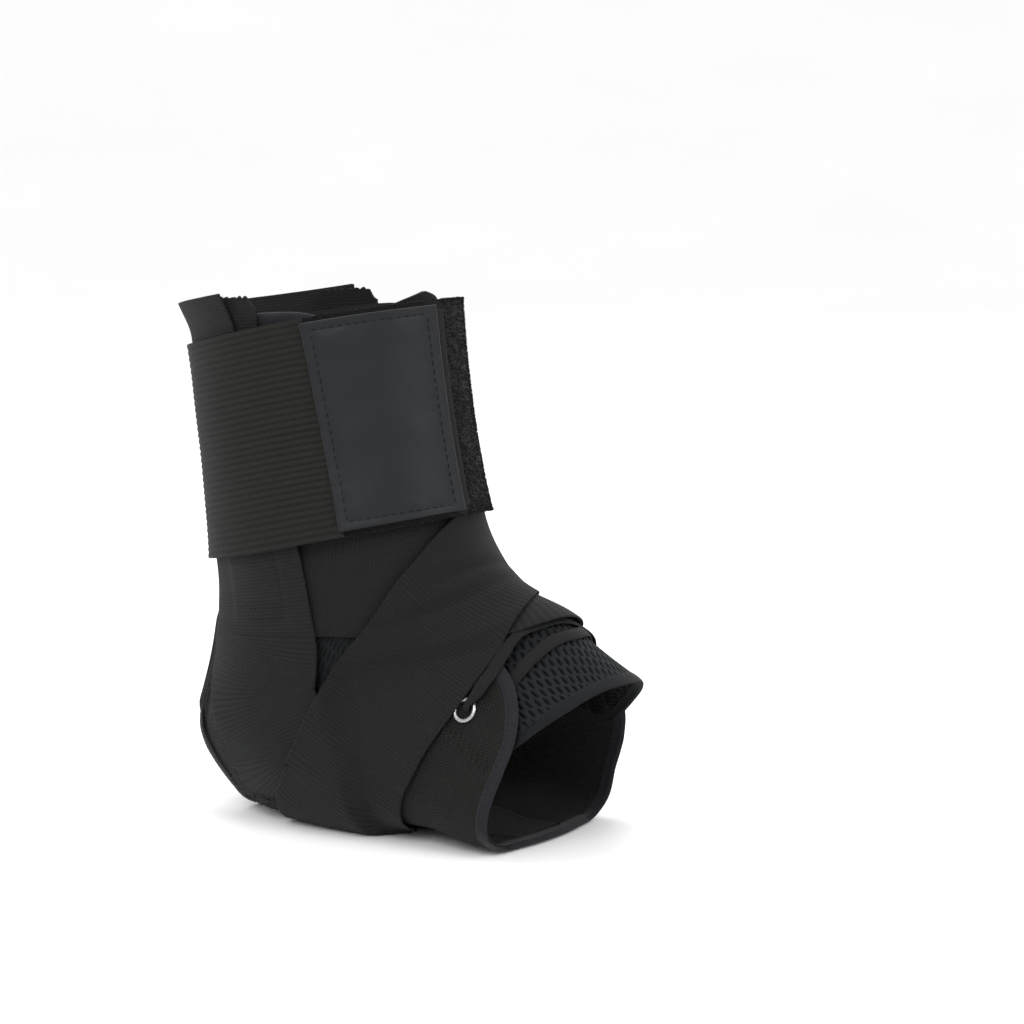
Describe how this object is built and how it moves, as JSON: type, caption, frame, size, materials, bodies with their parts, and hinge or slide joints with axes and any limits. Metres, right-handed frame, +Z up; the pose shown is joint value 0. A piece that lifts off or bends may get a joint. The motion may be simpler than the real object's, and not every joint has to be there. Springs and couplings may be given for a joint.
{
  "type": "lace-up ankle brace",
  "caption": "Charcoal cloth ankle brace for a right foot, with an open heel, a padded tongue, crossed webbing straps under the sole and an elastic cuff with a hook closure.",
  "frame": {"origin": "on the floor, under the ankle, in the middle of the flat underside of the strap that crosses the sole", "axes": "+X to the toes, -Y to the outer side of the right ankle, +Z up"},
  "size_m": [0.1881, 0.0934, 0.1974],
  "materials": {
    "boot": "ballistic nylon, charcoal, with an open basket weave",
    "binding": "knit binding tape, purple-grey, matt",
    "webbing": "polyester webbing with fine ribs across its length, charcoal",
    "elastic": "ribbed woven elastic, charcoal with a faint green cast",
    "pile": "fuzzy loop pile, black",
    "satin": "bare satin label cloth, dark grey, slight sheen",
    "mesh": "padded spacer mesh, near black",
    "lace": "flat woven lace, charcoal",
    "nickel": "bright nickel plate"
  },
  "bodies": {
    "root": {"quarter_outer": "boot", "quarter_inner": "boot", "achilles_panel": "boot", "sole_panel": "boot", "tongue": "mesh", "tongue_border": "mesh", "front_binding": "binding", "heel_binding": "binding", "rim_binding": "binding", "strap_under": "webbing", "strap_over": "webbing", "stay_pocket_outer": "webbing", "stay_pocket_inner": "webbing", "elastic_cuff": "elastic", "loop_strip": "pile", "hook_tab": "webbing", "label_patch": "satin", "eyelet_outer": "nickel", "eyelet_inner": "nickel", "lace_arch": "lace", "lace_bar": "lace"}
  },
  "joints": []
}
